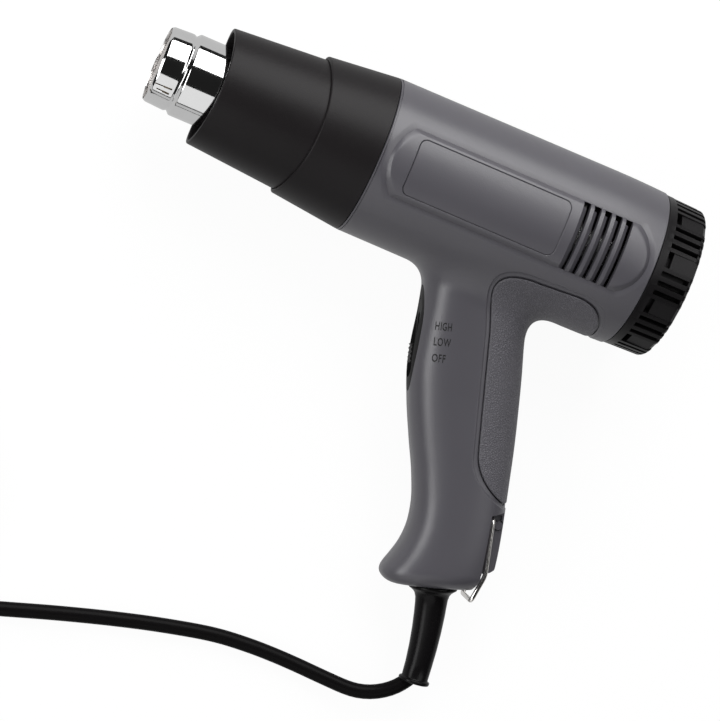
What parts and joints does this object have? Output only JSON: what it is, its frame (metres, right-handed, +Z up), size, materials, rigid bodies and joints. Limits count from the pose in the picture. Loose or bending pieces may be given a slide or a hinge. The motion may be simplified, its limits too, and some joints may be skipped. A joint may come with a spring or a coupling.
{
  "type": "heat gun",
  "caption": "Hand-held electric heat gun lying on its side: grey pistol body, black guard and rear cap, chromed nozzle, slide switch, folding wire bail and a coiled mains lead.",
  "frame": {"origin": "middle of the box round the tool, with the lead and its boot left out, at floor level", "axes": "+X from the nozzle to the rear cap, +Y across the floor from the handle to the barrel, +Z up out of the tool's left side"},
  "size_m": [0.3548, 0.3095, 0.0756],
  "materials": {
    "housing": "mid-grey moulded plastic with a fine spark texture",
    "grip": "same grey with a coarse leather grain",
    "guard": "matt black heat-proof plastic",
    "cap": "black plastic, slightly glossy",
    "chrome": "mirror-bright plated steel tube",
    "steel": "bright drawn or zinc-plated steel",
    "brass": "plain brass or copper alloy",
    "mica": "mica sheet, matt tan",
    "heater_wire": "oxidised resistance alloy wire",
    "inner_plastic": "dark grey heat-proof plastic",
    "ferrite": "dark sintered ferrite or carbon",
    "board": "brown paper-phenolic board",
    "wire_skin": "blue insulation",
    "boot": "black moulded flexible plastic",
    "cord": "black cord jacket, slightly shiny"
  },
  "bodies": {
    "gun": {"left_housing": "housing", "right_housing": "housing", "left_grip_inlay": "grip", "right_grip_inlay": "grip", "housing_screw_1": "steel", "housing_screw_2": "steel", "housing_screw_3": "steel", "housing_screw_4": "steel", "housing_screw_5": "steel", "guard_collar": "guard", "nozzle_guard": "guard", "nozzle_tube": "chrome", "mouth_screen": "heater_wire", "heater_flange": "steel", "mica_sleeve": "mica", "heater_former": "mica", "heating_element": "heater_wire", "thermal_cutout": "brass", "air_duct": "inner_plastic", "motor_mount": "inner_plastic", "motor_can": "steel", "motor_end_bell": "inner_plastic", "front_bearing": "brass", "rear_bearing": "brass", "left_magnet": "ferrite", "right_magnet": "ferrite", "upper_brush": "ferrite", "lower_brush": "ferrite", "rectifier_board": "board", "rear_cap": "cap", "switch_bezel": "cap", "switch_body": "inner_plastic", "inner_lead": "cord", "cord_clamp": "inner_plastic", "clamp_screw_1": "steel", "clamp_screw_2": "steel", "live_wire": "wire_skin", "neutral_wire": "wire_skin", "strain_relief": "boot", "cord_lead": "cord", "cord_coil": "cord", "coil_tie": "boot", "cord_tail": "cord", "plug_body": "boot", "plug_blade_1": "brass", "plug_blade_2": "brass"},
    "switch": {"switch_slider": "cap"},
    "bail": {"hanging_bail": "steel"},
    "fan": {"motor_shaft": "steel", "armature": "brass", "commutator": "brass", "impeller": "inner_plastic"}
  },
  "joints": [
    {"name": "switch_slide", "type": "slide", "parent": "gun", "child": "switch", "axis": [-0.2932, 0.9495, 0.1114], "range_m": [0, 0.0143]},
    {"name": "bail_hinge", "type": "hinge", "parent": "gun", "child": "bail", "pos_m": [0.09117, -0.06038, 0.02253], "axis": [-0.0075, -0.1188, 0.9929], "range_deg": [0, 110]},
    {"name": "fan_spin", "type": "hinge", "parent": "gun", "child": "fan", "pos_m": [0.05409, 0.06789, 0.0376], "axis": [1, 0, 0.0075], "continuous": true}
  ]
}
